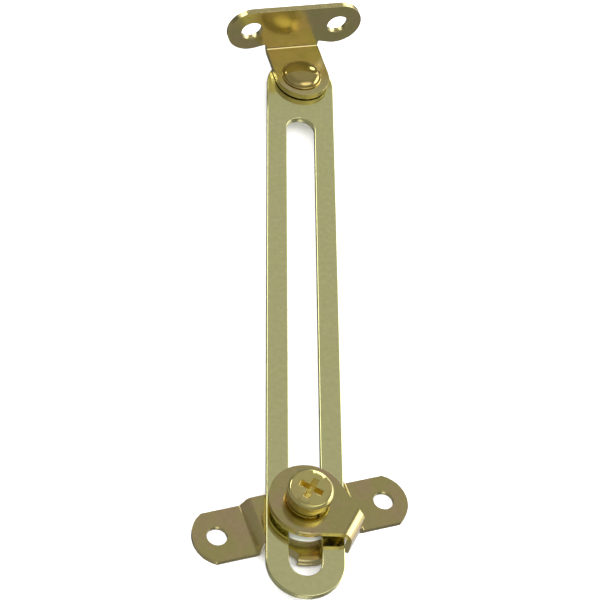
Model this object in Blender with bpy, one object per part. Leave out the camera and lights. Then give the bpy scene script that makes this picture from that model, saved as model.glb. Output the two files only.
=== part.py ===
"""A slotted casement window stay in brass-plated steel.

The frame bracket screws to the window frame, the sash bracket to the sash. A clamp screw holds the slotted
arm between nylon faces, so the arm slides and swings until the screw is tightened.

Frame of the part: +Z is up, away from the window frame. The origin is on the clamp screw's axis, in the
plane that the wings of the frame bracket rest on. At rest the arm runs along +Y. Named sizes are in
millimetres.
"""

import math

import bmesh
import bpy
from mathutils import Matrix, Vector

MM = 0.001

# Slotted arm: flat strip with round ends.
ARM_WIDTH = 16.0
ARM_THICKNESS = 1.5
SLOT_WIDTH = 6.7
SLOT_LOW_Y = -12.5
SLOT_HIGH_Y = 104.6
ARM_END_Y = 119.2
PIVOT_Y = 120.4

# Frame bracket: a strip along U with a raised centre. V is across it.
BRACKET_TURN = 18.8
BRACKET_SHEET = 1.2
CENTRE_RISE = 2.3
STRIP_WIDTH = 11.6
WING_TIP = 23.4
WING_CORNER = 20.0
WING_HOLE_U = 18.3
WING_HOLE = 4.3
JOGGLE_FOOT = 11.35
JOGGLE_CREST = 9.85
JOGGLE_RADIUS = 0.9
RECESS_HALF_WIDTH = 3.6
RECESS_FACE = 9.25
NOSE_RADIUS = 11.2
NOSE_HALF_WIDTH = 4.7
NOSE_ROOT_HALF_WIDTH = 4.25
NOSE_FILLET = 0.4

# Keeper plate: a disc with a tab folded down at 45 degrees to the strip.
KEEPER_SHEET = 1.2
KEEPER_RADIUS = 8.0
TAB_TURN = -45.0
TAB_FACE = 11.9
TAB_SHOULDER = 9.6
TAB_ROOT_HALF_WIDTH = 3.7
TAB_HALF_WIDTH = 3.2
TAB_BEND_RADIUS = 2.1
TAB_END_Z = 2.1

# Clamp screw and the pieces stacked on it, from below.
SEAT_GAP = 0.1
THIN_GAP = 0.05
NUT_PLATE_THICKNESS = 1.3
NUT_PLATE_HALF_LENGTH = 8.8
FLANGE_THICKNESS = 0.4
FLANGE_RADIUS = 7.1
HUB_RADIUS = 3.15
FRICTION_WASHER_THICKNESS = 0.9
FRICTION_WASHER_RADIUS = 6.5
PRESSURE_WASHER_THICKNESS = 0.8
PRESSURE_WASHER_RADIUS = 7.85
SPRING_WASHER_THICKNESS = 0.9
SPRING_WASHER_RADIUS = 4.25
SPRING_WASHER_SPLIT = 10.0
SPRING_WASHER_TURN = -59.0
SPRING_WASHER_RISE = 0.3
SCREW_RADIUS = 2.5
SCREW_HOLE_RADIUS = 2.65
THREAD_GAP = 0.05
HEAD_RADIUS = 4.75
HEAD_TOP_RADIUS = 4.2
HEAD_HEIGHT = 2.75
HEAD_CHAMFER = 0.5
RECESS_SPAN = 5.1
RECESS_FLOOR_SPAN = 2.6
RECESS_BLADE = 1.3
RECESS_FLOOR_BLADE = 0.9
RECESS_SINK = 1.6
SCREW_TURN = -26.0

# Sash bracket: a leaf riveted on the arm and a face plate bent up from it.
SASH_TURN = 15.5
SASH_SHEET = 1.5
LEAF_HALF_WIDTH = 6.5
LEAF_SHIFT = 0.35
FACE_INNER_Y = 9.6
FACE_BEND_RADIUS = 1.15
EAR_RADIUS = 5.95
EAR_HOLE_X = 10.85
EAR_HOLE_Z = 13.75
EAR_HOLE = 5.2
NECK_TOP_Z = 8.3
EAR_START_X = 7.0
EAR_START_Z = 8.6

# Pivot rivet and its washer.
PIVOT_WASHER_THICKNESS = 0.2
PIVOT_WASHER_RADIUS = 4.6
RIVET_SHANK_RADIUS = 2.2
RIVET_HOLE_RADIUS = 2.3
RIVET_HEAD_RADIUS = 4.8
RIVET_DOME_RADIUS = 4.3
RIVET_RIM_HEIGHT = 0.3
RIVET_DOME_HEIGHT = 1.45
RIVET_TAIL_RADIUS = 3.5
RIVET_TAIL_HEIGHT = 0.7

# Levels that follow from the stack.
CENTRE_TOP_Z = CENTRE_RISE + BRACKET_SHEET
FLANGE_Z = CENTRE_TOP_Z + THIN_GAP
ARM_Z = FLANGE_Z + FLANGE_THICKNESS + THIN_GAP
ARM_TOP_Z = ARM_Z + ARM_THICKNESS
FRICTION_WASHER_Z = ARM_TOP_Z + SEAT_GAP
PRESSURE_WASHER_Z = FRICTION_WASHER_Z + FRICTION_WASHER_THICKNESS + SEAT_GAP
KEEPER_Z = PRESSURE_WASHER_Z + PRESSURE_WASHER_THICKNESS + SEAT_GAP
SPRING_WASHER_Z = KEEPER_Z + KEEPER_SHEET + THIN_GAP
HEAD_Z = SPRING_WASHER_Z + SPRING_WASHER_THICKNESS + SPRING_WASHER_RISE + THIN_GAP
HEAD_TOP_Z = HEAD_Z + HEAD_HEIGHT
NUT_PLATE_Z = CENTRE_RISE - SEAT_GAP - NUT_PLATE_THICKNESS
LEAF_Z = ARM_TOP_Z + PIVOT_WASHER_THICKNESS + 2 * THIN_GAP
LEAF_TOP_Z = LEAF_Z + SASH_SHEET

# Tessellation and edge break.
ROUND_STEPS = 48
BEND_STEPS = 5
EDGE_BREAK = 0.18
REACH = 40.0

GOLD = (0.60, 0.55, 0.30)
NYLON = (0.86, 0.87, 0.85)

PLAN_VIEW = Matrix(((1, 0, 0), (0, 1, 0), (0, 0, 1)))
SIDE_VIEW = Matrix(((1, 0, 0), (0, 0, 1), (0, 1, 0)))
END_VIEW = Matrix(((0, 0, 1), (1, 0, 0), (0, 1, 0)))


def clear_scene():
    for obj in list(bpy.data.objects):
        bpy.data.objects.remove(obj, do_unlink=True)


def arc(centre_x, centre_y, radius, start, end, steps=ROUND_STEPS // 2):
    """Points along a circular arc, from one angle to another in degrees."""
    points = []
    for step in range(steps + 1):
        angle = math.radians(start + (end - start) * step / steps)
        points.append((centre_x + radius * math.cos(angle), centre_y + radius * math.sin(angle)))
    return points


def circle(centre_x, centre_y, radius, steps=ROUND_STEPS):
    return arc(centre_x, centre_y, radius, 0, 360, steps)[:-1]


def sheet_profile(corners, radius, thickness):
    """The side view of a bent sheet: a centre line through the corners, rounded and given its thickness."""
    line = [(Vector(corners[0]), (Vector(corners[1]) - Vector(corners[0])).normalized())]
    for before, corner, after in zip(corners, corners[1:], corners[2:]):
        way_in = (Vector(corner) - Vector(before)).normalized()
        way_out = (Vector(after) - Vector(corner)).normalized()
        angle = way_in.angle_signed(way_out) * -1
        setback = radius * math.tan(abs(angle) / 2)
        start = Vector(corner) - way_in * setback
        side = Vector((-way_in.y, way_in.x)) * math.copysign(1, angle)
        centre = start + side * radius
        for step in range(BEND_STEPS + 1):
            turn = Matrix.Rotation(angle * step / BEND_STEPS, 2)
            line.append((centre + turn @ (start - centre), turn @ way_in))
    line.append((Vector(corners[-1]), (Vector(corners[-1]) - Vector(corners[-2])).normalized()))
    upper = []
    lower = []
    for point, way in line:
        side = Vector((-way.y, way.x)) * (thickness / 2)
        upper.append(tuple(point + side))
        lower.append(tuple(point - side))
    return upper + lower[::-1]


def add_object(name, mesh_builder, place=None):
    mesh = bpy.data.meshes.new(name)
    bmesh.ops.recalc_face_normals(mesh_builder, faces=mesh_builder.faces)
    mesh_builder.to_mesh(mesh)
    mesh_builder.free()
    obj = bpy.data.objects.new(name, mesh)
    bpy.context.scene.collection.objects.link(obj)
    if place is not None:
        obj.matrix_world = place
    return obj


def prism(name, outline, low, high, view=PLAN_VIEW, place=None):
    """A closed outline in the given view, drawn out from low to high along the third direction."""
    solid = bmesh.new()
    rings = []
    for depth in (low, high):
        corners = [view @ Vector((x, y, depth)) * MM for x, y in outline]
        rings.append([solid.verts.new(corner) for corner in corners])
    solid.faces.new(rings[0])
    solid.faces.new(rings[1])
    count = len(outline)
    for index in range(count):
        after = (index + 1) % count
        solid.faces.new((rings[0][index], rings[0][after], rings[1][after], rings[1][index]))
    return add_object(name, solid, place)


def turned_solid(name, profile, place=None, steps=ROUND_STEPS):
    """A profile of (radius, height) points turned about Z. A radius of 0 closes the shape on its axis."""
    solid = bmesh.new()
    rings = []
    for radius, height in profile:
        points = [(0, 0)] if radius == 0 else circle(0, 0, radius, steps)
        rings.append([solid.verts.new((x * MM, y * MM, height * MM)) for x, y in points])
    pairs = list(zip(rings, rings[1:]))
    if profile[0][0] != 0:
        pairs.append((rings[-1], rings[0]))
    for ring, other in pairs:
        for index in range(steps):
            after = (index + 1) % steps
            corners = [ring[index % len(ring)], ring[after % len(ring)]]
            corners += [other[after % len(other)], other[index % len(other)]]
            solid.faces.new(dict.fromkeys(corners))
    return add_object(name, solid, place)


def disc(radius, hole, low, high, edge=EDGE_BREAK / 2):
    """The profile of a flat ring with broken edges."""
    return [
        (hole, low),
        (radius - edge, low),
        (radius, low + edge),
        (radius, high - edge),
        (radius - edge, high),
        (hole, high),
    ]


def helper(obj):
    obj.hide_render = True
    obj.display_type = "WIRE"
    return obj


def combine(obj, other, operation):
    modifier = obj.modifiers.new(operation.title() + " " + other.name, "BOOLEAN")
    modifier.operation = operation
    modifier.solver = "EXACT"
    modifier.object = helper(other)


def drill(obj, name, centres, radius, low, high, view=PLAN_VIEW):
    """Round holes through a piece, in the piece's own frame."""
    for number, (x, y) in enumerate(centres):
        cutter = prism(f"{name}_{number}", circle(x, y, radius), low, high, view, obj.matrix_world)
        combine(obj, cutter, "DIFFERENCE")


def break_edges(obj, width=EDGE_BREAK):
    modifier = obj.modifiers.new("Edge break", "BEVEL")
    modifier.width = width * MM
    modifier.segments = 1
    modifier.limit_method = "ANGLE"
    modifier.angle_limit = math.radians(40)


def coat(obj, colour, roughness, metallic):
    material = bpy.data.materials.new(obj.name)
    material.use_nodes = True
    shader = material.node_tree.nodes["Principled BSDF"]
    shader.inputs["Base Color"].default_value = (*colour, 1)
    shader.inputs["Roughness"].default_value = roughness
    shader.inputs["Metallic"].default_value = metallic
    obj.data.materials.append(material)
    obj.data.shade_smooth()
    obj.data.set_sharp_from_angle(angle=math.radians(30))


def turn_about(axis_y, degrees):
    return Matrix.Translation((0, axis_y * MM, 0)) @ Matrix.Rotation(math.radians(degrees), 4, "Z")


def slotted_arm():
    half = ARM_WIDTH / 2
    outline = arc(0, ARM_END_Y, half, 0, 180) + arc(0, SLOT_LOW_Y, half, 180, 360)
    obj = prism("slotted_arm", outline, ARM_Z, ARM_TOP_Z)
    slot = arc(0, SLOT_HIGH_Y, SLOT_WIDTH / 2, 0, 180) + arc(0, SLOT_LOW_Y, SLOT_WIDTH / 2, 180, 360)
    combine(obj, prism("arm_slot", slot, 0, REACH), "DIFFERENCE")
    drill(obj, "arm_rivet_hole", [(0, PIVOT_Y)], RIVET_HOLE_RADIUS, 0, REACH)
    break_edges(obj)
    coat(obj, GOLD, 0.22, 1)


def mirrored(points):
    return [(-x, y) for x, y in reversed(points)]


def nose_outline():
    """The raised centre's lower edge: a round nose between the recesses for the keeper's tab."""
    drop = RECESS_FACE * math.sqrt(2)
    root = NOSE_ROOT_HALF_WIDTH
    spread = math.degrees(math.asin(NOSE_HALF_WIDTH / NOSE_RADIUS))
    right = [(root + NOSE_FILLET, root + NOSE_FILLET - drop), (root, root - drop - NOSE_FILLET)]
    return right + arc(0, 0, NOSE_RADIUS, spread - 90, -spread - 90, 12) + mirrored(right)


def strip_outline():
    """The plan of the frame bracket, clockwise from the top of its left wing."""
    half = STRIP_WIDTH / 2
    rise = WING_TIP - WING_CORNER
    radius = (half * half + rise * rise) / (2 * rise)
    spread = math.degrees(math.asin(half / radius))
    right = arc(WING_TIP - radius, 0, radius, spread, -spread, 16)
    right.append((RECESS_HALF_WIDTH * math.sqrt(2) + half, -half))
    wall_u = (RECESS_FACE + RECESS_HALF_WIDTH) / math.sqrt(2)
    wall_v = (RECESS_HALF_WIDTH - RECESS_FACE) / math.sqrt(2)
    right.append((wall_u, wall_v))
    return right + nose_outline() + mirrored(right)


def frame_bracket():
    middle = BRACKET_SHEET / 2
    corners = [
        (-REACH, middle),
        (-JOGGLE_FOOT, middle),
        (-JOGGLE_CREST, CENTRE_RISE + middle),
        (JOGGLE_CREST, CENTRE_RISE + middle),
        (JOGGLE_FOOT, middle),
        (REACH, middle),
    ]
    place = turn_about(0, BRACKET_TURN)
    side = sheet_profile(corners, JOGGLE_RADIUS, BRACKET_SHEET)
    obj = prism("frame_bracket", side, -REACH, REACH, SIDE_VIEW, place)
    plan = prism("frame_bracket_plan", strip_outline(), -REACH, REACH, PLAN_VIEW, place)
    combine(obj, plan, "INTERSECT")
    drill(obj, "wing_hole", [(-WING_HOLE_U, 0), (WING_HOLE_U, 0)], WING_HOLE / 2, -REACH, REACH)
    drill(obj, "bracket_screw_hole", [(0, 0)], SCREW_HOLE_RADIUS, -REACH, REACH)
    break_edges(obj)
    coat(obj, GOLD, 0.28, 1)


def nut_plate():
    half = STRIP_WIDTH / 2
    end = NUT_PLATE_HALF_LENGTH
    right = [(end, half), (end, end - RECESS_FACE * math.sqrt(2))]
    outline = right + nose_outline() + mirrored(right)
    low = NUT_PLATE_Z
    obj = prism("nut_plate", outline, low, low + NUT_PLATE_THICKNESS, PLAN_VIEW, turn_about(0, BRACKET_TURN))
    drill(obj, "nut_plate_thread", [(0, 0)], SCREW_RADIUS + THREAD_GAP, -REACH, REACH)
    coat(obj, GOLD, 0.35, 1)


def keeper_outline():
    """A disc whose two tangents run to the shoulders of the tab. The tab points along +X."""
    shoulder = Vector((TAB_SHOULDER, TAB_ROOT_HALF_WIDTH))
    lean = math.degrees(math.acos(KEEPER_RADIUS / shoulder.length))
    tangent = math.degrees(math.atan2(shoulder.y, shoulder.x)) + lean
    right = [
        (TAB_SHOULDER, -TAB_ROOT_HALF_WIDTH),
        (TAB_FACE - KEEPER_SHEET, -TAB_HALF_WIDTH),
        (TAB_FACE + 1, -TAB_HALF_WIDTH),
        (TAB_FACE + 1, TAB_HALF_WIDTH),
        (TAB_FACE - KEEPER_SHEET, TAB_HALF_WIDTH),
        (TAB_SHOULDER, TAB_ROOT_HALF_WIDTH),
    ]
    return arc(0, 0, KEEPER_RADIUS, tangent, 360 - tangent, ROUND_STEPS) + right


def keeper_plate():
    middle = KEEPER_Z + KEEPER_SHEET / 2
    tab_middle = TAB_FACE - KEEPER_SHEET / 2
    corners = [(-REACH, middle), (tab_middle, middle), (tab_middle, TAB_END_Z)]
    place = turn_about(0, BRACKET_TURN + TAB_TURN)
    side = sheet_profile(corners, TAB_BEND_RADIUS, KEEPER_SHEET)
    obj = prism("keeper_plate", side, -REACH, REACH, SIDE_VIEW, place)
    combine(obj, prism("keeper_plan", keeper_outline(), -REACH, REACH, PLAN_VIEW, place), "INTERSECT")
    drill(obj, "keeper_screw_hole", [(0, 0)], SCREW_HOLE_RADIUS, 0, REACH)
    break_edges(obj)
    coat(obj, GOLD, 0.28, 1)


def recess_blade(name, degrees):
    """A block that tapers from the head's top to the recess's floor, and goes on as far above the top."""
    solid = bmesh.new()
    rings = []
    for share in (0, 2):
        reach = RECESS_FLOOR_SPAN + (RECESS_SPAN - RECESS_FLOOR_SPAN) * share
        width = RECESS_FLOOR_BLADE + (RECESS_BLADE - RECESS_FLOOR_BLADE) * share
        height = HEAD_TOP_Z + RECESS_SINK * (share - 1)
        half = [(reach / 2, -width / 2), (reach / 2, width / 2)]
        rings.append([solid.verts.new((x * MM, y * MM, height * MM)) for x, y in half + mirrored(half)])
    for index in range(4):
        after = (index + 1) % 4
        solid.faces.new((rings[0][index], rings[0][after], rings[1][after], rings[1][index]))
    solid.faces.new(rings[0])
    solid.faces.new(rings[1])
    return add_object(name, solid, turn_about(0, degrees))


def cross_recess_cutter():
    """A cross of two blades that narrow with depth, as a Phillips driver does."""
    cross = recess_blade("recess_blade_0", SCREW_TURN)
    combine(cross, recess_blade("recess_blade_1", SCREW_TURN + 90), "UNION")
    return cross


def clamp_screw():
    tip = NUT_PLATE_Z - SEAT_GAP / 2
    top = HEAD_TOP_Z
    profile = [
        (0, tip),
        (SCREW_RADIUS - 0.4, tip),
        (SCREW_RADIUS, tip + 0.4),
        (SCREW_RADIUS, HEAD_Z),
        (HEAD_RADIUS - 0.25, HEAD_Z),
        (HEAD_RADIUS, HEAD_Z + 0.25),
        (HEAD_RADIUS, top - HEAD_CHAMFER),
        (HEAD_TOP_RADIUS + 0.12, top - 0.12),
        (HEAD_TOP_RADIUS - 0.1, top),
        (0, top),
    ]
    obj = turned_solid("clamp_screw", profile, turn_about(0, SCREW_TURN))
    combine(obj, cross_recess_cutter(), "DIFFERENCE")
    coat(obj, GOLD, 0.25, 1)


def spring_washer():
    """A split ring of square section, one turn of a left-hand helix."""
    solid = bmesh.new()
    half_split = SPRING_WASHER_SPLIT / 2
    section = [
        (SCREW_HOLE_RADIUS, 0),
        (SPRING_WASHER_RADIUS, 0),
        (SPRING_WASHER_RADIUS, SPRING_WASHER_THICKNESS),
        (SCREW_HOLE_RADIUS, SPRING_WASHER_THICKNESS),
    ]
    rings = []
    for step, (x, y) in enumerate(arc(0, 0, 1, half_split, 360 - half_split, ROUND_STEPS)):
        low = SPRING_WASHER_Z + SPRING_WASHER_RISE * (1 - step / ROUND_STEPS)
        rings.append([solid.verts.new((x * r * MM, y * r * MM, (low + z) * MM)) for r, z in section])
    for ring, other in zip(rings, rings[1:]):
        for index in range(4):
            after = (index + 1) % 4
            solid.faces.new((ring[index], ring[after], other[after], other[index]))
    solid.faces.new(rings[0])
    solid.faces.new(rings[-1])
    obj = add_object("spring_washer", solid, turn_about(0, SPRING_WASHER_TURN))
    coat(obj, GOLD, 0.3, 1)


def flat_washers():
    low = PRESSURE_WASHER_Z
    ring = disc(PRESSURE_WASHER_RADIUS, SCREW_HOLE_RADIUS, low, low + PRESSURE_WASHER_THICKNESS)
    coat(turned_solid("pressure_washer", ring), GOLD, 0.28, 1)
    low = FRICTION_WASHER_Z
    ring = disc(FRICTION_WASHER_RADIUS, SCREW_HOLE_RADIUS, low, low + FRICTION_WASHER_THICKNESS)
    coat(turned_solid("upper_friction_washer", ring), NYLON, 0.5, 0)


def slide_bush():
    """A nylon flange that carries the arm, and a hub that fills the width of the slot."""
    edge = EDGE_BREAK / 2
    top = FLANGE_Z + FLANGE_THICKNESS
    hub_top = ARM_TOP_Z - SEAT_GAP
    profile = [
        (SCREW_HOLE_RADIUS, FLANGE_Z),
        (FLANGE_RADIUS - edge, FLANGE_Z),
        (FLANGE_RADIUS, FLANGE_Z + edge),
        (FLANGE_RADIUS, top - edge),
        (FLANGE_RADIUS - edge, top),
        (HUB_RADIUS, top),
        (HUB_RADIUS, hub_top),
        (SCREW_HOLE_RADIUS, hub_top),
    ]
    coat(turned_solid("slide_bush", profile), NYLON, 0.5, 0)


def face_outline():
    """The front view of the sash bracket's face plate: two round ears joined by a bar, on a narrow neck."""
    lead = Vector((EAR_HOLE_X - EAR_START_X, EAR_HOLE_Z - EAR_START_Z))
    lean = math.degrees(math.acos(EAR_RADIUS / lead.length))
    start = math.degrees(math.atan2(-lead.y, -lead.x)) + lean
    ear = [(EAR_START_X, EAR_START_Z)] + arc(EAR_HOLE_X, EAR_HOLE_Z, EAR_RADIUS, start, 90)
    right = LEAF_SHIFT + LEAF_HALF_WIDTH
    left = LEAF_SHIFT - LEAF_HALF_WIDTH
    return [(right, 0), (right, NECK_TOP_Z)] + ear + mirrored(ear) + [(left, NECK_TOP_Z), (left, 0)]


def leaf_outline():
    """The plan of the sash bracket: the leaf, and room for the face plate's full length beyond it."""
    shoulder_y = FACE_INNER_Y - 0.6
    leaf = arc(LEAF_SHIFT, 0, LEAF_HALF_WIDTH, 180, 360)
    right = [(LEAF_SHIFT + LEAF_HALF_WIDTH, shoulder_y), (REACH, shoulder_y), (REACH, REACH)]
    left = [(-REACH, REACH), (-REACH, shoulder_y), (LEAF_SHIFT - LEAF_HALF_WIDTH, shoulder_y)]
    return leaf + right + left


def sash_bracket():
    middle = LEAF_Z + SASH_SHEET / 2
    face_middle = FACE_INNER_Y + SASH_SHEET / 2
    corners = [(-REACH, middle), (face_middle, middle), (face_middle, REACH)]
    place = turn_about(PIVOT_Y, SASH_TURN)
    side = sheet_profile(corners, FACE_BEND_RADIUS, SASH_SHEET)
    obj = prism("sash_bracket", side, -REACH / 2, REACH / 2, END_VIEW, place)
    combine(obj, prism("sash_plan", leaf_outline(), -REACH, 2 * REACH, PLAN_VIEW, place), "INTERSECT")
    combine(obj, prism("sash_face", face_outline(), -REACH, 2 * REACH, SIDE_VIEW, place), "INTERSECT")
    drill(obj, "leaf_rivet_hole", [(0, 0)], RIVET_HOLE_RADIUS, 0, REACH / 4)
    ears = [(-EAR_HOLE_X, EAR_HOLE_Z), (EAR_HOLE_X, EAR_HOLE_Z)]
    drill(obj, "sash_hole", ears, EAR_HOLE / 2, 0, REACH, SIDE_VIEW)
    break_edges(obj)
    coat(obj, GOLD, 0.3, 1)


def pivot_rivet():
    """A domed head above the leaf, a shank, and a tail spread under the arm."""
    head_low = LEAF_TOP_Z + SEAT_GAP
    tail_top = ARM_Z - SEAT_GAP
    tail_low = tail_top - RIVET_TAIL_HEIGHT
    rim_top = head_low + RIVET_RIM_HEIGHT
    rise = RIVET_DOME_HEIGHT - RIVET_RIM_HEIGHT
    dome = [(RIVET_DOME_RADIUS * x, rim_top + rise * y) for x, y in arc(0, 0, 1, 0, 90, 6)[:-1]]
    profile = [
        (0, tail_low),
        (RIVET_TAIL_RADIUS - 0.4, tail_low),
        (RIVET_TAIL_RADIUS, tail_low + 0.4),
        (RIVET_TAIL_RADIUS, tail_top),
        (RIVET_SHANK_RADIUS, tail_top),
        (RIVET_SHANK_RADIUS, head_low),
        (RIVET_HEAD_RADIUS, head_low),
        (RIVET_HEAD_RADIUS, head_low + 0.15),
        (RIVET_HEAD_RADIUS - 0.25, rim_top - 0.05),
        *dome,
        (0, rim_top + rise),
    ]
    coat(turned_solid("pivot_rivet", profile, turn_about(PIVOT_Y, 0)), GOLD, 0.2, 1)


def pivot_washer():
    low = ARM_TOP_Z + THIN_GAP
    ring = disc(PIVOT_WASHER_RADIUS, RIVET_HOLE_RADIUS, low, low + PIVOT_WASHER_THICKNESS, 0.05)
    coat(turned_solid("pivot_washer", ring, turn_about(PIVOT_Y, 0)), GOLD, 0.3, 1)


clear_scene()
slotted_arm()
frame_bracket()
nut_plate()
slide_bush()
flat_washers()
keeper_plate()
spring_washer()
clamp_screw()
sash_bracket()
pivot_washer()
pivot_rivet()
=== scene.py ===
"""The looks of a slotted casement window stay in brass-plated steel.

Every CAD node is replaced by a piece of the same shape with finer edges, bends and rounds, and with
plating or nylon made from procedural nodes. Named sizes are in millimetres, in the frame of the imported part.
"""

import math

import bmesh
import bpy
from mathutils import Matrix, Vector


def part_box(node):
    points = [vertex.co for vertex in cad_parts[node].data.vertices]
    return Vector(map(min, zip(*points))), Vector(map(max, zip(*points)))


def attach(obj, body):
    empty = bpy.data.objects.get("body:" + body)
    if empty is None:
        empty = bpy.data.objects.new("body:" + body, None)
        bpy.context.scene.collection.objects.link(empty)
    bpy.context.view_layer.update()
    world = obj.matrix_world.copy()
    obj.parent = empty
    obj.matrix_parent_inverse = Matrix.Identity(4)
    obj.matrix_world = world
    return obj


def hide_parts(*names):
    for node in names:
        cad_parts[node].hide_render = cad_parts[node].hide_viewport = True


MM = 0.001

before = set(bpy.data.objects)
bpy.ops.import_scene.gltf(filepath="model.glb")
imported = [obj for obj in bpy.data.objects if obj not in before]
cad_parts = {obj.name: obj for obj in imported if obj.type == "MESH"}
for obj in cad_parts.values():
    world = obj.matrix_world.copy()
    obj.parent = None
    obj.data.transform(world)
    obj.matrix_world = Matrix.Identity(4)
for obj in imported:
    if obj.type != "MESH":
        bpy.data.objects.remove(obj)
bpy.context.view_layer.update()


def level(node, corner):
    """The lowest (0) or highest (1) level of a CAD node, in millimetres."""
    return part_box(node)[corner].z / MM


# Slotted arm.
ARM_WIDTH = 16.0
SLOT_WIDTH = 6.7
SLOT_LOW_Y = -12.5
SLOT_HIGH_Y = 104.6
ARM_END_Y = 119.2
PIVOT_Y = 120.4

# Frame bracket.
BRACKET_TURN = 18.8
BRACKET_SHEET = 1.2
CENTRE_RISE = 2.3
STRIP_WIDTH = 11.6
WING_TIP = 23.4
WING_CORNER = 20.0
WING_HOLE_U = 18.3
WING_HOLE = 4.3
JOGGLE_FOOT = 11.35
JOGGLE_CREST = 9.85
JOGGLE_RADIUS = 0.9
RECESS_HALF_WIDTH = 3.6
RECESS_FACE = 9.25
NOSE_RADIUS = 11.2
NOSE_HALF_WIDTH = 4.7
NOSE_ROOT_HALF_WIDTH = 4.25
NOSE_FILLET = 0.4
NUT_PLATE_HALF_LENGTH = 8.8

# Keeper plate.
KEEPER_SHEET = 1.2
KEEPER_RADIUS = 8.0
TAB_TURN = -45.0
TAB_FACE = 11.9
TAB_SHOULDER = 9.6
TAB_ROOT_HALF_WIDTH = 3.7
TAB_HALF_WIDTH = 3.2
TAB_BEND_RADIUS = 2.1

# Clamp stack.
FLANGE_THICKNESS = 0.4
FLANGE_RADIUS = 7.1
HUB_RADIUS = 3.15
FRICTION_WASHER_RADIUS = 6.5
PRESSURE_WASHER_RADIUS = 7.85
SPRING_WASHER_RADIUS = 4.25
SPRING_WASHER_THICKNESS = 0.9
SPRING_WASHER_SPLIT = 10.0
SPRING_WASHER_TURN = -59.0
SPRING_WASHER_RISE = 0.3
SCREW_RADIUS = 2.5
SCREW_ROOT_RADIUS = 2.05
SCREW_PITCH = 0.8
SCREW_HOLE_RADIUS = 2.65
TAPPED_RADIUS = 2.55
HEAD_RADIUS = 4.75
HEAD_TOP_RADIUS = 4.2
HEAD_HEIGHT = 2.75
HEAD_CHAMFER = 0.5
RECESS_SPAN = 5.1
RECESS_FLOOR_SPAN = 2.6
RECESS_BLADE = 1.3
RECESS_FLOOR_BLADE = 0.9
RECESS_SINK = 1.6
SCREW_TURN = -26.0

# Sash bracket.
SASH_TURN = 15.5
SASH_SHEET = 1.5
LEAF_HALF_WIDTH = 6.5
LEAF_SHIFT = 0.35
FACE_INNER_Y = 9.6
FACE_BEND_RADIUS = 1.15
EAR_RADIUS = 5.95
EAR_HOLE_X = 10.85
EAR_HOLE_Z = 13.75
EAR_HOLE = 5.2
NECK_TOP_Z = 8.3
EAR_START_X = 7.0
EAR_START_Z = 8.6

# Pivot rivet and its washer.
PIVOT_WASHER_RADIUS = 4.6
RIVET_SHANK_RADIUS = 2.2
RIVET_HOLE_RADIUS = 2.3
RIVET_HEAD_RADIUS = 4.8
RIVET_DOME_RADIUS = 4.3
RIVET_RIM_HEIGHT = 0.3
RIVET_DOME_HEIGHT = 1.45
RIVET_TAIL_RADIUS = 3.5

# Rounding of each piece's edges.
ARM_EDGE = 0.22
BRACKET_EDGE = 0.3
NUT_PLATE_EDGE = 0.12
KEEPER_EDGE = 0.55
SCREW_EDGE = 0.09
SASH_EDGE = 0.4
RING_EDGE = 0.2
FLANGE_EDGE = 0.15
SPRING_EDGE = 0.14

# The slant of the spring washer's cut, in degrees over its thickness.
SPRING_CUT_SLANT = 6.0

# Thread: where it starts above the tip, how far it fades in, how long it is and its steps for each turn.
THREAD_START = 0.12
THREAD_FADE = 0.5
THREAD_LENGTH = 5.0
THREAD_STEPS = 6

# The point in the middle of the recess's floor.
POINT_SINK = 0.35
POINT_RISE = 0.1
POINT_LOW_RADIUS = 0.75
POINT_HIGH_RADIUS = 0.95
POINT_STEPS = 24

# Steps in rounds and bends, and the reach of cutters past the piece that they cut.
ROUND_STEPS = 96
NOSE_STEPS = 24
WING_STEPS = 32
DOME_STEPS = 16
BEND_STEPS = 10
REACH = 40.0

PLAN_VIEW = Matrix(((1, 0, 0), (0, 1, 0), (0, 0, 1)))
SIDE_VIEW = Matrix(((1, 0, 0), (0, 0, 1), (0, 1, 0)))
END_VIEW = Matrix(((0, 0, 1), (1, 0, 0), (0, 1, 0)))


# Outlines.


def arc(centre_x, centre_y, radius, start, end, steps=ROUND_STEPS // 2):
    points = []
    for step in range(steps + 1):
        angle = math.radians(start + (end - start) * step / steps)
        points.append((centre_x + radius * math.cos(angle), centre_y + radius * math.sin(angle)))
    return points


def circle(centre_x, centre_y, radius, steps=ROUND_STEPS):
    return arc(centre_x, centre_y, radius, 0, 360, steps)[:-1]


def mirrored(points):
    return [(-x, y) for x, y in reversed(points)]


def sheet_profile(corners, radius, thickness):
    """The side view of a bent sheet: a line through the corners, rounded and given its thickness."""
    line = [(Vector(corners[0]), (Vector(corners[1]) - Vector(corners[0])).normalized())]
    for before, corner, after in zip(corners, corners[1:], corners[2:]):
        way_in = (Vector(corner) - Vector(before)).normalized()
        way_out = (Vector(after) - Vector(corner)).normalized()
        angle = way_in.angle_signed(way_out) * -1
        start = Vector(corner) - way_in * radius * math.tan(abs(angle) / 2)
        centre = start + Vector((-way_in.y, way_in.x)) * math.copysign(radius, angle)
        for step in range(BEND_STEPS + 1):
            turn = Matrix.Rotation(angle * step / BEND_STEPS, 2)
            line.append((centre + turn @ (start - centre), turn @ way_in))
    line.append((Vector(corners[-1]), (Vector(corners[-1]) - Vector(corners[-2])).normalized()))
    upper = []
    lower = []
    for point, way in line:
        side = Vector((-way.y, way.x)) * (thickness / 2)
        upper.append(tuple(point + side))
        lower.append(tuple(point - side))
    return upper + lower[::-1]


# Solids. A solid's first material is for the faces of the sheet, its second for the sheared edges.


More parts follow.
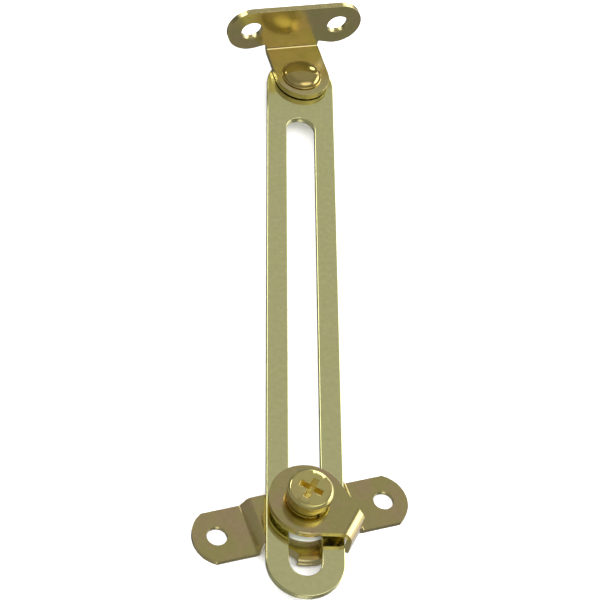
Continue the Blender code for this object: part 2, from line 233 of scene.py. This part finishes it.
def add_object(name, solid, materials, place=None):
    mesh = bpy.data.meshes.new(name)
    bmesh.ops.recalc_face_normals(solid, faces=solid.faces)
    solid.to_mesh(mesh)
    solid.free()
    for material in materials:
        mesh.materials.append(material)
    obj = bpy.data.objects.new(name, mesh)
    bpy.context.scene.collection.objects.link(obj)
    if place is not None:
        obj.matrix_world = place
    return obj


def prism(name, outline, low, high, materials, view=PLAN_VIEW, place=None):
    """A closed outline in the given view, drawn out from low to high along the third direction."""
    solid = bmesh.new()
    rings = []
    for depth in (low, high):
        rings.append([solid.verts.new(view @ Vector((x, y, depth)) * MM) for x, y in outline])
    solid.faces.new(rings[0])
    solid.faces.new(rings[1])
    count = len(outline)
    for index in range(count):
        after = (index + 1) % count
        side = solid.faces.new((rings[0][index], rings[0][after], rings[1][after], rings[1][index]))
        side.material_index = len(materials) - 1
    return add_object(name, solid, materials, place)


def turned_solid(name, rows, materials, place=None, steps=ROUND_STEPS):
    """Rows of (radius, height), from below, turned about Z. A radius may be a function of the angle."""
    solid = bmesh.new()
    rings = []
    for radius, height in rows:
        if radius == 0:
            rings.append([solid.verts.new((0, 0, height * MM))])
            continue
        ring = []
        for x, y in circle(0, 0, 1, steps):
            reach = radius(math.atan2(y, x)) if callable(radius) else radius
            ring.append(solid.verts.new((x * reach * MM, y * reach * MM, height * MM)))
        rings.append(ring)
    pairs = list(zip(rings, rings[1:]))
    if rows[0][0] != 0:
        pairs.append((rings[-1], rings[0]))
    for ring, other in pairs:
        for index in range(steps):
            after = (index + 1) % steps
            corners = [ring[index % len(ring)], ring[after % len(ring)]]
            corners += [other[after % len(other)], other[index % len(other)]]
            solid.faces.new(dict.fromkeys(corners))
    return add_object(name, solid, materials, place)


def settle(obj):
    """Turns the modified shape into the object's own mesh, in the part's frame."""
    bpy.context.view_layer.update()
    shaped = obj.evaluated_get(bpy.context.evaluated_depsgraph_get())
    mesh = bpy.data.meshes.new_from_object(shaped)
    mesh.transform(obj.matrix_world)
    obj.modifiers.clear()
    obj.data = mesh
    obj.matrix_world = Matrix.Identity(4)


def combine(obj, other, operation):
    modifier = obj.modifiers.new(operation, "BOOLEAN")
    modifier.operation = operation
    modifier.solver = "EXACT"
    modifier.material_mode = "TRANSFER"
    modifier.object = other
    settle(obj)
    bpy.data.objects.remove(other, do_unlink=True)


def drill(obj, centres, radius, material, view=PLAN_VIEW, place=None):
    for x, y in centres:
        bit = prism("drill", circle(x, y, radius), -REACH, 4 * REACH, [material], view, place)
        combine(obj, bit, "DIFFERENCE")


def round_edges(obj, width, segments=3, angle=35):
    bevel = obj.modifiers.new("Round edges", "BEVEL")
    bevel.width = width * MM
    bevel.segments = segments
    bevel.limit_method = "ANGLE"
    bevel.angle_limit = math.radians(angle)
    bevel.use_clamp_overlap = True
    obj.data.shade_smooth()
    weighted = obj.modifiers.new("Flat faces stay flat", "WEIGHTED_NORMAL")
    weighted.weight = 80
    weighted.keep_sharp = True
    settle(obj)


def place_piece(obj, body, node):
    """The piece rides on a body and stands for a CAD node."""
    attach(obj, body)
    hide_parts(node)


def turn_about(axis_y, degrees):
    return Matrix.Translation((0, axis_y * MM, 0)) @ Matrix.Rotation(math.radians(degrees), 4, "Z")


# Materials.


class Finish:
    """A material's node tree, built node by node."""

    def __init__(self, name):
        self.material = bpy.data.materials.new(name)
        self.material.use_nodes = True
        self.tree = self.material.node_tree
        self.surface = self.tree.nodes["Principled BSDF"]
        self.place = self.add("TexCoord").outputs["Object"]

    def add(self, kind, inputs=None, **settings):
        node = self.tree.nodes.new("ShaderNode" + kind)
        for key, value in settings.items():
            setattr(node, key, value)
        for socket, value in (inputs or {}).items():
            self.put(node.inputs[socket], value)
        return node

    def put(self, socket, value):
        if isinstance(value, bpy.types.NodeSocket):
            self.tree.links.new(value, socket)
        else:
            socket.default_value = value

    def noise(self, size, detail=4.0, roughness=0.5, stretch=(1, 1, 1), turn=0.0):
        """Noise with features about size millimetres across, stretched along each direction."""
        scaled = self.add("Mapping", {"Vector": self.place})
        scaled.inputs["Rotation"].default_value = (0, 0, math.radians(turn))
        scaled.inputs["Scale"].default_value = [1 / (size * MM * s) for s in stretch]
        look = {"Scale": 1.0, "Detail": detail, "Roughness": roughness}
        return self.add("TexNoise", {"Vector": scaled.outputs["Vector"], **look}).outputs["Fac"]

    def ramp(self, value, *stops):
        """Stops are (position, colour or grey level)."""
        node = self.add("ValToRGB", {"Fac": value})
        while len(node.color_ramp.elements) < len(stops):
            node.color_ramp.elements.new(1)
        for element, (position, colour) in zip(node.color_ramp.elements, stops):
            element.position = position
            levels = colour if isinstance(colour, tuple) else (colour, colour, colour)
            element.color = (*levels, 1)
        return node.outputs["Color"]

    def blend(self, factor, first, second, mode="MIX"):
        node = self.add("Mix", data_type="RGBA", blend_type=mode)
        self.put(node.inputs["Factor"], factor)
        for socket, value in ((node.inputs["A"], first), (node.inputs["B"], second)):
            self.put(socket, (*value, 1) if isinstance(value, tuple) else value)
        return node.outputs["Result"]

    def maths(self, operation, first, second):
        node = self.add("Math", operation=operation)
        self.put(node.inputs[0], first)
        self.put(node.inputs[1], second)
        return node.outputs["Value"]

    def bump(self, height, depth, strength=1.0, below=None):
        """Depth is in millimetres."""
        node = self.add("Bump", {"Height": height, "Strength": strength, "Distance": depth * MM})
        if below is not None:
            self.put(node.inputs["Normal"], below)
        return node.outputs["Normal"]


def plating(name, colour, blush, roughness, wobble, scratches=0.15, turn=0.0):
    """Bright plated sheet: a drifting colour, soft waves and small dents, fine scratches and a few pits."""
    finish = Finish(name)
    drift = finish.noise(6.0, 2.0)
    pink = tuple(c * k for c, k in zip(colour, (1.04, 0.93, 1.16)))
    green = tuple(c * k for c, k in zip(colour, (0.94, 1.02, 0.86)))
    tint = finish.ramp(drift, (0.36, green), (0.5, colour), (0.64, pink))
    base = finish.blend(blush, colour, tint)
    mottle = finish.ramp(finish.noise(1.1, 3.0), (0.3, 0.93), (0.7, 1.0))
    base = finish.blend(1.0, base, mottle, "MULTIPLY")
    pits = finish.ramp(finish.noise(0.16, 2.0, 0.6), (0.22, 0.0), (0.30, 1.0))
    base = finish.blend(finish.maths("SUBTRACT", 1.0, pits), base, tuple(c * 0.35 for c in colour))
    finish.put(finish.surface.inputs["Base Color"], base)
    finish.put(finish.surface.inputs["Metallic"], 1.0)
    rolling = finish.noise(0.05, 3.0, 0.6, (1, 60, 1), turn)
    haze = finish.ramp(finish.noise(3.0, 3.0), (0.3, roughness * 0.8), (0.7, roughness * 1.25))
    fine = finish.maths("MULTIPLY", finish.ramp(rolling, (0.45, 0.0), (0.75, 1.0)), scratches)
    finish.put(finish.surface.inputs["Roughness"], finish.maths("ADD", haze, fine))
    waves = finish.bump(finish.noise(4.5, 1.0, 0.4), wobble)
    waves = finish.bump(finish.noise(0.9, 2.0, 0.5), wobble * 0.12, 1.0, waves)
    lines = finish.bump(rolling, 0.0012, 0.5, waves)
    pitted = finish.bump(pits, 0.01, 0.6, lines)
    finish.put(finish.surface.inputs["Normal"], pitted)
    return finish.material


def sheared(name, colour, roughness, upright=(1, 1, 6)):
    """The edge left by shearing: streaks through the thickness, duller than the sheet's face."""
    finish = Finish(name)
    streaks = finish.noise(0.22, 4.0, 0.65, upright)
    grains = finish.noise(0.12, 3.0, 0.6)
    base = finish.ramp(streaks, (0.25, tuple(c * 0.6 for c in colour)), (0.7, colour))
    finish.put(finish.surface.inputs["Base Color"], base)
    finish.put(finish.surface.inputs["Metallic"], 1.0)
    rough = finish.ramp(streaks, (0.3, roughness * 1.4), (0.75, roughness * 0.8))
    finish.put(finish.surface.inputs["Roughness"], rough)
    ridged = finish.bump(streaks, 0.05, 0.7)
    grained = finish.bump(grains, 0.012, 0.6, ridged)
    finish.put(finish.surface.inputs["Normal"], grained)
    return finish.material


def moulded_nylon(name):
    finish = Finish(name)
    cloud = finish.noise(2.2, 3.0)
    base = finish.ramp(cloud, (0.3, (0.56, 0.57, 0.50)), (0.7, (0.62, 0.63, 0.55)))
    finish.put(finish.surface.inputs["Base Color"], base)
    grain = finish.noise(0.15, 4.0, 0.6)
    finish.put(finish.surface.inputs["Roughness"], finish.ramp(grain, (0.3, 0.38), (0.7, 0.5)))
    finish.put(finish.surface.inputs["Normal"], finish.bump(grain, 0.006, 0.5))
    finish.surface.inputs["Subsurface Weight"].default_value = 0.25
    finish.surface.inputs["Subsurface Radius"].default_value = (0.0012, 0.0011, 0.001)
    return finish.material


PALE_GOLD = (0.90, 0.87, 0.42)
SOFT_GOLD = (0.64, 0.53, 0.235)
SCREW_GOLD = (0.78, 0.685, 0.25)
DEEP_GOLD = (0.75, 0.645, 0.29)
RIVET_GOLD = (0.58, 0.47, 0.16)
RECESS_GOLD = (0.98, 0.80, 0.22)

arm_face = plating("arm_plating", PALE_GOLD, 0.15, 0.12, 0.004, 0.05)
bracket_face = plating("bracket_plating", SOFT_GOLD, 0.8, 0.14, 0.006, 0.05, BRACKET_TURN - 90)
keeper_face = plating("keeper_plating", SOFT_GOLD, 0.8, 0.14, 0.006, 0.05, BRACKET_TURN + TAB_TURN)
sash_face = plating("sash_plating", DEEP_GOLD, 0.35, 0.16, 0.03, 0.08, SASH_TURN - 90)
screw_face = plating("screw_plating", SCREW_GOLD, 0.3, 0.13, 0.003, 0.05)
screw_side = sheared("turned_screw_side", SCREW_GOLD, 0.16, (12, 12, 1))
recess_face = sheared("recess_plating", RECESS_GOLD, 0.32, (1, 1, 3))
rivet_face = plating("rivet_plating", RIVET_GOLD, 0.2, 0.11, 0.003, 0.05)
arm_edge = sheared("sheared_arm_edge", PALE_GOLD, 0.18)
cut_edge = sheared("sheared_edge", DEEP_GOLD, 0.18)
sash_edge = sheared("sheared_sash_edge", DEEP_GOLD, 0.2, (6, 6, 1))
nylon = moulded_nylon("moulded_nylon")


# Pieces.


def slotted_arm():
    half = ARM_WIDTH / 2
    outline = arc(0, ARM_END_Y, half, 0, 180) + arc(0, SLOT_LOW_Y, half, 180, 360)
    low = level("slotted_arm", 0)
    obj = prism("arm_strip", outline, low, level("slotted_arm", 1), [arm_face, arm_edge])
    slot_half = SLOT_WIDTH / 2
    slot = arc(0, SLOT_HIGH_Y, slot_half, 0, 180) + arc(0, SLOT_LOW_Y, slot_half, 180, 360)
    combine(obj, prism("slot", slot, 0, REACH, [arm_edge]), "DIFFERENCE")
    drill(obj, [(0, PIVOT_Y)], RIVET_HOLE_RADIUS, cut_edge)
    round_edges(obj, ARM_EDGE)
    place_piece(obj, "arm", "slotted_arm")


def nose_outline():
    """The raised centre's lower edge: a round nose between the recesses for the keeper's tab."""
    drop = RECESS_FACE * math.sqrt(2)
    root = NOSE_ROOT_HALF_WIDTH
    spread = math.degrees(math.asin(NOSE_HALF_WIDTH / NOSE_RADIUS))
    right = [(root + NOSE_FILLET, root + NOSE_FILLET - drop), (root, root - drop - NOSE_FILLET)]
    return right + arc(0, 0, NOSE_RADIUS, spread - 90, -spread - 90, NOSE_STEPS) + mirrored(right)


def strip_outline():
    """The frame bracket seen from above, with rounded wing tips and the two recesses."""
    half = STRIP_WIDTH / 2
    rise = WING_TIP - WING_CORNER
    radius = (half * half + rise * rise) / (2 * rise)
    spread = math.degrees(math.asin(half / radius))
    right = arc(WING_TIP - radius, 0, radius, spread, -spread, WING_STEPS)
    right.append((RECESS_HALF_WIDTH * math.sqrt(2) + half, -half))
    wall_u = (RECESS_FACE + RECESS_HALF_WIDTH) / math.sqrt(2)
    wall_v = (RECESS_HALF_WIDTH - RECESS_FACE) / math.sqrt(2)
    right.append((wall_u, wall_v))
    return right + nose_outline() + mirrored(right)


def frame_bracket():
    middle = BRACKET_SHEET / 2
    corners = [
        (-REACH, middle),
        (-JOGGLE_FOOT, middle),
        (-JOGGLE_CREST, CENTRE_RISE + middle),
        (JOGGLE_CREST, CENTRE_RISE + middle),
        (JOGGLE_FOOT, middle),
        (REACH, middle),
    ]
    place = turn_about(0, BRACKET_TURN)
    side = sheet_profile(corners, JOGGLE_RADIUS, BRACKET_SHEET)
    obj = prism("bracket_strip", side, -REACH, REACH, [bracket_face], SIDE_VIEW, place)
    plan = prism("plan", strip_outline(), -REACH, REACH, [cut_edge], PLAN_VIEW, place)
    combine(obj, plan, "INTERSECT")
    drill(obj, [(-WING_HOLE_U, 0), (WING_HOLE_U, 0)], WING_HOLE / 2, cut_edge, PLAN_VIEW, place)
    drill(obj, [(0, 0)], SCREW_HOLE_RADIUS, cut_edge)
    round_edges(obj, BRACKET_EDGE)
    place_piece(obj, "frame", "frame_bracket")


def nut_plate():
    half = STRIP_WIDTH / 2
    end = NUT_PLATE_HALF_LENGTH
    right = [(end, half), (end, end - RECESS_FACE * math.sqrt(2))]
    outline = right + nose_outline() + mirrored(right)
    low = level("nut_plate", 0)
    place = turn_about(0, BRACKET_TURN)
    high = level("nut_plate", 1)
    obj = prism("backing_plate", outline, low, high, [bracket_face, cut_edge], PLAN_VIEW, place)
    settle(obj)
    drill(obj, [(0, 0)], TAPPED_RADIUS, cut_edge)
    round_edges(obj, NUT_PLATE_EDGE, 2)
    place_piece(obj, "frame", "nut_plate")


def keeper_outline():
    """A disc whose two tangents run to the shoulders of the tab. The tab points along +X."""
    shoulder = Vector((TAB_SHOULDER, TAB_ROOT_HALF_WIDTH))
    lean = math.degrees(math.acos(KEEPER_RADIUS / shoulder.length))
    tangent = math.degrees(math.atan2(shoulder.y, shoulder.x)) + lean
    right = [
        (TAB_SHOULDER, -TAB_ROOT_HALF_WIDTH),
        (TAB_FACE - KEEPER_SHEET, -TAB_HALF_WIDTH),
        (TAB_FACE + 1, -TAB_HALF_WIDTH),
        (TAB_FACE + 1, TAB_HALF_WIDTH),
        (TAB_FACE - KEEPER_SHEET, TAB_HALF_WIDTH),
        (TAB_SHOULDER, TAB_ROOT_HALF_WIDTH),
    ]
    return arc(0, 0, KEEPER_RADIUS, tangent, 360 - tangent, ROUND_STEPS) + right


def keeper_plate():
    middle = level("keeper_plate", 1) - KEEPER_SHEET / 2
    tab_middle = TAB_FACE - KEEPER_SHEET / 2
    corners = [(-REACH, middle), (tab_middle, middle), (tab_middle, level("keeper_plate", 0))]
    place = turn_about(0, BRACKET_TURN + TAB_TURN)
    side = sheet_profile(corners, TAB_BEND_RADIUS, KEEPER_SHEET)
    obj = prism("keeper_disc", side, -REACH, REACH, [keeper_face], SIDE_VIEW, place)
    plan = prism("plan", keeper_outline(), -REACH, REACH, [cut_edge], PLAN_VIEW, place)
    combine(obj, plan, "INTERSECT")
    drill(obj, [(0, 0)], SCREW_HOLE_RADIUS, cut_edge)
    round_edges(obj, KEEPER_EDGE, 5)
    place_piece(obj, "frame", "keeper_plate")


def ring_rows(radius, hole, low, high, round_by, steps=4):
    """The rows of a flat ring with rounded outer edges."""
    inset = radius - round_by
    rows = [(hole, low)]
    for turn in range(steps + 1):
        angle = math.pi / 2 * turn / steps
        rows.append((inset + round_by * math.sin(angle), low + round_by - round_by * math.cos(angle)))
    for turn in range(steps + 1):
        angle = math.pi / 2 * turn / steps
        rows.append((inset + round_by * math.cos(angle), high - round_by + round_by * math.sin(angle)))
    return rows + [(hole, high)]


def smooth(obj, angle=40):
    obj.data.shade_smooth()
    obj.data.set_sharp_from_angle(angle=math.radians(angle))


def flat_washer(name, node, radius, hole, material, place=None):
    low = level(node, 0)
    high = level(node, 1)
    rows = ring_rows(radius, hole, low, high, min(RING_EDGE, (high - low) / 2.2))
    obj = turned_solid(name, rows, [material], place)
    settle(obj)
    smooth(obj)
    return obj


def flat_washers():
    disc = flat_washer(
        "pressure_disc", "pressure_washer", PRESSURE_WASHER_RADIUS, SCREW_HOLE_RADIUS, screw_face
    )
    place_piece(disc, "frame", "pressure_washer")
    disc = flat_washer(
        "friction_disc", "upper_friction_washer", FRICTION_WASHER_RADIUS, SCREW_HOLE_RADIUS, nylon
    )
    place_piece(disc, "frame", "upper_friction_washer")
    pivot = turn_about(PIVOT_Y, 0)
    disc = flat_washer(
        "pivot_disc", "pivot_washer", PIVOT_WASHER_RADIUS, RIVET_HOLE_RADIUS, sash_face, pivot
    )
    place_piece(disc, "arm", "pivot_washer")


def slide_bush():
    low = level("slide_bush", 0)
    top = low + FLANGE_THICKNESS
    hub_top = level("slide_bush", 1)
    rows = ring_rows(FLANGE_RADIUS, SCREW_HOLE_RADIUS, low, top, FLANGE_EDGE)[:-1]
    rows += [(HUB_RADIUS + 0.1, top), (HUB_RADIUS, top + 0.1), (HUB_RADIUS, hub_top - 0.15)]
    rows += [(HUB_RADIUS - 0.15, hub_top), (SCREW_HOLE_RADIUS, hub_top)]
    obj = turned_solid("bush_flange", rows, [nylon])
    smooth(obj)
    place_piece(obj, "bush", "slide_bush")


def spring_washer():
    """A split ring whose ends stand a little apart, cut at a slant."""
    solid = bmesh.new()
    base = level("spring_washer", 0)
    inner = SCREW_HOLE_RADIUS
    outer = SPRING_WASHER_RADIUS
    high = SPRING_WASHER_THICKNESS
    cut = SPRING_EDGE
    section = [
        (inner, cut), (inner + cut, 0), (outer - cut, 0), (outer, cut),
        (outer, high - cut), (outer - cut, high), (inner + cut, high), (inner, high - cut),
    ]
    half_split = SPRING_WASHER_SPLIT / 2
    rings = []
    for step in range(ROUND_STEPS + 1):
        share = step / ROUND_STEPS
        low = base + SPRING_WASHER_RISE * (1 - share)
        ring = []
        for radius, height in section:
            lean = SPRING_CUT_SLANT * (height / high - 0.5)
            angle = math.radians(half_split + lean + (360 - 2 * half_split) * share)
            point = Vector((radius * math.cos(angle), radius * math.sin(angle), low + height))
            ring.append(solid.verts.new(point * MM))
        rings.append(ring)
    count = len(section)
    for ring, other in zip(rings, rings[1:]):
        for index in range(count):
            after = (index + 1) % count
            solid.faces.new((ring[index], ring[after], other[after], other[index]))
    solid.faces.new(rings[0])
    solid.faces.new(rings[-1])
    obj = add_object("spring_ring", solid, [screw_side], turn_about(0, SPRING_WASHER_TURN))
    settle(obj)
    smooth(obj, 50)
    place_piece(obj, "washer", "spring_washer")


def recess_blade(top, degrees):
    """A block that tapers from the head's top to the recess's floor, and goes on above the top."""
    solid = bmesh.new()
    rings = []
    for share in (0, 2):
        reach = RECESS_FLOOR_SPAN + (RECESS_SPAN - RECESS_FLOOR_SPAN) * share
        width = RECESS_FLOOR_BLADE + (RECESS_BLADE - RECESS_FLOOR_BLADE) * share
        height = top + RECESS_SINK * (share - 1)
        half = [(reach / 2, -width / 2), (reach / 2, width / 2)]
        outline = half + mirrored(half)
        rings.append([solid.verts.new((x * MM, y * MM, height * MM)) for x, y in outline])
    for index in range(4):
        after = (index + 1) % 4
        solid.faces.new((rings[0][index], rings[0][after], rings[1][after], rings[1][index]))
    solid.faces.new(rings[0])
    solid.faces.new(rings[1])
    return add_object("blade", solid, [recess_face], turn_about(0, degrees))


def recess_cutter(top):
    """A Phillips recess: two blades across each other, and a point in the middle of their floor."""
    cross = recess_blade(top, SCREW_TURN)
    combine(cross, recess_blade(top, SCREW_TURN + 90), "UNION")
    floor = top - RECESS_SINK
    rows = [(0, floor - POINT_SINK), (POINT_LOW_RADIUS, floor + POINT_RISE)]
    rows += [(POINT_HIGH_RADIUS, top + 1), (0, top + 1)]
    point = turned_solid("point", rows, [recess_face], turn_about(0, SCREW_TURN), POINT_STEPS)
    combine(cross, point, "UNION")
    return cross


def clamp_screw():
    tip = level("clamp_screw", 0)
    top = level("clamp_screw", 1)
    head = top - HEAD_HEIGHT
    rows = [(0, tip), (SCREW_ROOT_RADIUS - 0.35, tip)]
    height = tip + THREAD_START
    step = SCREW_PITCH / THREAD_STEPS

    def thread(at):
        fade = min(1.0, (at - tip) / THREAD_FADE)

        def radius(angle):
            phase = (at / SCREW_PITCH - angle / (2 * math.pi)) % 1
            crest = 1 - abs(2 * phase - 1)
            depth = (SCREW_RADIUS - SCREW_ROOT_RADIUS) * min(1.0, crest * 1.15)
            return SCREW_ROOT_RADIUS - 0.3 * (1 - fade) + depth * fade

        return radius

    while height < tip + THREAD_LENGTH:
        rows.append((thread(height), height))
        height += step
    rows += [(SCREW_RADIUS - 0.1, height + 0.1), (SCREW_RADIUS - 0.1, head)]
    rows += [(HEAD_RADIUS - 0.35, head), (HEAD_RADIUS - 0.12, head + 0.08)]
    rows += [(HEAD_RADIUS, head + 0.3), (HEAD_RADIUS, top - HEAD_CHAMFER - 0.2)]
    rows += [(HEAD_RADIUS - 0.06, top - HEAD_CHAMFER), (HEAD_TOP_RADIUS + 0.14, top - 0.12)]
    rows += [(HEAD_TOP_RADIUS - 0.06, top), (0, top)]
    obj = turned_solid("screw_body", rows, [screw_face, screw_side], turn_about(0, SCREW_TURN))
    for face in obj.data.polygons:
        if abs(face.normal.z) < 0.5:
            face.material_index = 1
    settle(obj)
    combine(obj, recess_cutter(top), "DIFFERENCE")
    round_edges(obj, SCREW_EDGE, 2, 38)
    place_piece(obj, "screw", "clamp_screw")


def face_outline():
    lead = Vector((EAR_HOLE_X - EAR_START_X, EAR_HOLE_Z - EAR_START_Z))
    lean = math.degrees(math.acos(EAR_RADIUS / lead.length))
    start = math.degrees(math.atan2(-lead.y, -lead.x)) + lean
    ear = [(EAR_START_X, EAR_START_Z)] + arc(EAR_HOLE_X, EAR_HOLE_Z, EAR_RADIUS, start, 90)
    right = LEAF_SHIFT + LEAF_HALF_WIDTH
    left = LEAF_SHIFT - LEAF_HALF_WIDTH
    return [(right, 0), (right, NECK_TOP_Z)] + ear + mirrored(ear) + [(left, NECK_TOP_Z), (left, 0)]


def leaf_outline():
    shoulder_y = FACE_INNER_Y - 0.6
    leaf = arc(LEAF_SHIFT, 0, LEAF_HALF_WIDTH, 180, 360)
    right = [(LEAF_SHIFT + LEAF_HALF_WIDTH, shoulder_y), (REACH, shoulder_y), (REACH, REACH)]
    left = [(-REACH, REACH), (-REACH, shoulder_y), (LEAF_SHIFT - LEAF_HALF_WIDTH, shoulder_y)]
    return leaf + right + left


def sash_bracket():
    low = level("sash_bracket", 0)
    middle = low + SASH_SHEET / 2
    face_middle = FACE_INNER_Y + SASH_SHEET / 2
    corners = [(-REACH, middle), (face_middle, middle), (face_middle, REACH)]
    place = turn_about(PIVOT_Y, SASH_TURN)
    side = sheet_profile(corners, FACE_BEND_RADIUS, SASH_SHEET)
    obj = prism("sash_leaf", side, -REACH / 2, REACH / 2, [sash_face], END_VIEW, place)
    plan = prism("plan", leaf_outline(), -REACH, 2 * REACH, [cut_edge], PLAN_VIEW, place)
    front = prism("front", face_outline(), -REACH, 2 * REACH, [sash_edge], SIDE_VIEW, place)
    combine(obj, plan, "INTERSECT")
    combine(obj, front, "INTERSECT")
    drill(obj, [(0, PIVOT_Y)], RIVET_HOLE_RADIUS, cut_edge)
    for x in (-EAR_HOLE_X, EAR_HOLE_X):
        outline = circle(x, EAR_HOLE_Z, EAR_HOLE / 2)
        combine(obj, prism("hole", outline, 0, REACH, [sash_edge], SIDE_VIEW, place), "DIFFERENCE")
    round_edges(obj, SASH_EDGE, 4)
    place_piece(obj, "sash", "sash_bracket")


def pivot_rivet():
    tail_low = level("pivot_rivet", 0)
    tail_top = level("slotted_arm", 0) - 0.1
    head_low = level("sash_bracket", 0) + SASH_SHEET + 0.1
    rim_top = head_low + RIVET_RIM_HEIGHT
    rise = RIVET_DOME_HEIGHT - RIVET_RIM_HEIGHT
    tail = RIVET_TAIL_RADIUS
    rows = [(0, tail_low), (tail - 0.5, tail_low)]
    rows += [(tail - 0.15, tail_low + 0.12), (tail, tail_low + 0.4)]
    rows += [(tail, tail_top - 0.1), (tail - 0.1, tail_top), (RIVET_SHANK_RADIUS, tail_top)]
    rows += [(RIVET_SHANK_RADIUS, head_low), (RIVET_HEAD_RADIUS - 0.1, head_low)]
    rows += [(RIVET_HEAD_RADIUS, head_low + 0.1)]
    rows += [(RIVET_HEAD_RADIUS - 0.02, head_low + 0.2), (RIVET_HEAD_RADIUS - 0.12, rim_top)]
    rows += [(RIVET_HEAD_RADIUS - 0.28, rim_top + 0.02), (RIVET_DOME_RADIUS + 0.06, rim_top - 0.08)]
    for step in range(DOME_STEPS):
        angle = math.pi / 2 * step / DOME_STEPS
        rows.append((RIVET_DOME_RADIUS * math.cos(angle), rim_top + rise * math.sin(angle)))
    rows.append((0, rim_top + rise))
    obj = turned_solid("rivet_dome", rows, [rivet_face], turn_about(PIVOT_Y, 0))
    settle(obj)
    smooth(obj, 60)
    place_piece(obj, "arm", "pivot_rivet")


# Studio. Metal mirrors only the tent. The lamps add light to the floor and the nylon. Places are in metres.

PART_MIDDLE = Vector((0, 0.05, 0))
LENS = 115.74
SENSOR_WIDTH = 36
CAMERA_PLACE = (-0.0590, -0.2077, 0.3346)
CAMERA_RIGHT = Vector((0.9858, -0.0085, 0.1681))
CAMERA_BACK = Vector((-0.1376, -0.6152, 0.7762))

# The tent's panels in the order they are laid, each over those before it: azimuth and elevation, the angles
# from its middle to where it starts and stops fading, and its brightness. All angles are in degrees.
TENT_GREY = 0.30
TENT_PANELS = (
    (18, -5, 24, 44, 1.3),
    (35, -42, 16, 30, 0.75),
    (77, 51, 14, 30, 0.42),
    (-85, 51, 20, 40, 0.46),
    (105, -50, 12, 30, 0.10),
    (-50, -52, 14, 32, 0.22),
    (135, 12, 12, 30, 0.10),
    (92, 8, 8, 16, 0.12),
    (67, 18, 12, 19, 3.6),
    (18, 18, 14, 26, 3.2),
    (-25, 66, 12, 24, 1.6),
    (-80, -50, 6, 16, 1.2),
    (131, 34, 8, 14, 4.5),
)


def floor():
    solid = bmesh.new()
    bmesh.ops.create_grid(solid, x_segments=1, y_segments=1, size=3)
    finish = Finish("floor_paper")
    grain = finish.noise(30.0, 3.0)
    finish.put(finish.surface.inputs["Base Color"], finish.ramp(grain, (0.3, 0.90), (0.7, 0.92)))
    finish.surface.inputs["Roughness"].default_value = 0.9
    finish.surface.inputs["Specular IOR Level"].default_value = 0.1
    behind = finish.add("NewGeometry").outputs["Backfacing"]
    clear = finish.add("BsdfTransparent").outputs["BSDF"]
    sided = finish.add("MixShader", {0: behind, 1: finish.surface.outputs["BSDF"], 2: clear})
    finish.put(finish.tree.nodes["Material Output"].inputs["Surface"], sided.outputs["Shader"])
    obj = add_object("floor", solid, [finish.material])
    obj.location = (0, 0, -0.05 * MM)
    obj.visible_glossy = False


def towards(azimuth, elevation):
    """A direction, in degrees. Azimuth is from +X towards +Y."""
    turn = math.radians(azimuth)
    rise = math.radians(elevation)
    return Vector((math.cos(rise) * math.cos(turn), math.cos(rise) * math.sin(turn), math.sin(rise)))


def tent(base, panels):
    """A grey tent with round panels: azimuth, elevation, full reach, reach of the fading, brightness."""
    world = bpy.data.worlds.new("tent")
    bpy.context.scene.world = world
    world.use_nodes = True
    tree = world.node_tree
    way = tree.nodes.new("ShaderNodeTexCoord").outputs["Generated"]
    shade = tree.nodes.new("ShaderNodeValue")
    shade.outputs[0].default_value = base
    level_so_far = shade.outputs[0]
    for azimuth, elevation, full, fading, brightness in panels:
        nearness = tree.nodes.new("ShaderNodeVectorMath")
        nearness.operation = "DOT_PRODUCT"
        tree.links.new(way, nearness.inputs[0])
        nearness.inputs[1].default_value = towards(azimuth, elevation)
        patch = tree.nodes.new("ShaderNodeMapRange")
        patch.interpolation_type = "SMOOTHSTEP"
        tree.links.new(nearness.outputs["Value"], patch.inputs["Value"])
        patch.inputs["From Min"].default_value = math.cos(math.radians(fading))
        patch.inputs["From Max"].default_value = math.cos(math.radians(full))
        mixed = tree.nodes.new("ShaderNodeMix")
        tree.links.new(patch.outputs["Result"], mixed.inputs["Factor"])
        tree.links.new(level_so_far, mixed.inputs["A"])
        mixed.inputs["B"].default_value = brightness
        level_so_far = mixed.outputs["Result"]
    tree.links.new(level_so_far, tree.nodes["Background"].inputs["Color"])


def lamp(name, azimuth, elevation, distance, size, radiance):
    """A square softbox aimed at the part, which metal doesn't mirror."""
    light = bpy.data.lights.new(name, "AREA")
    light.size = size
    light.energy = radiance * math.pi * size * size
    obj = bpy.data.objects.new(name, light)
    bpy.context.scene.collection.objects.link(obj)
    way = towards(azimuth, elevation)
    obj.location = PART_MIDDLE + way * distance
    obj.rotation_euler = way.to_track_quat("Z", "Y").to_euler()
    obj.visible_camera = False
    obj.visible_glossy = False


def camera():
    data = bpy.data.cameras.new("camera")
    data.lens = LENS
    data.sensor_width = SENSOR_WIDTH
    data.clip_start = 0.01
    data.clip_end = 20
    obj = bpy.data.objects.new("camera", data)
    bpy.context.scene.collection.objects.link(obj)
    right = CAMERA_RIGHT.normalized()
    back = (CAMERA_BACK - right * CAMERA_BACK.dot(right)).normalized()
    turn = Matrix((right, back.cross(right), back)).transposed().to_4x4()
    obj.matrix_world = Matrix.Translation(CAMERA_PLACE) @ turn
    bpy.context.scene.camera = obj


slotted_arm()
frame_bracket()
nut_plate()
slide_bush()
flat_washers()
keeper_plate()
spring_washer()
clamp_screw()
sash_bracket()
pivot_rivet()
floor()
tent(TENT_GREY, TENT_PANELS)
lamp("overhead_lamp", 90, 88, 1.6, 2.4, 1.5)
lamp("front_lamp", -80, 48, 1.4, 1.4, 3.2)
lamp("left_lamp", 180, 45, 1.4, 1.2, 1.8)
lamp("right_lamp", 0, 45, 1.4, 1.2, 1.8)
camera()
settings = bpy.context.scene
settings.view_settings.view_transform = "Standard"
settings.cycles.use_denoising = True
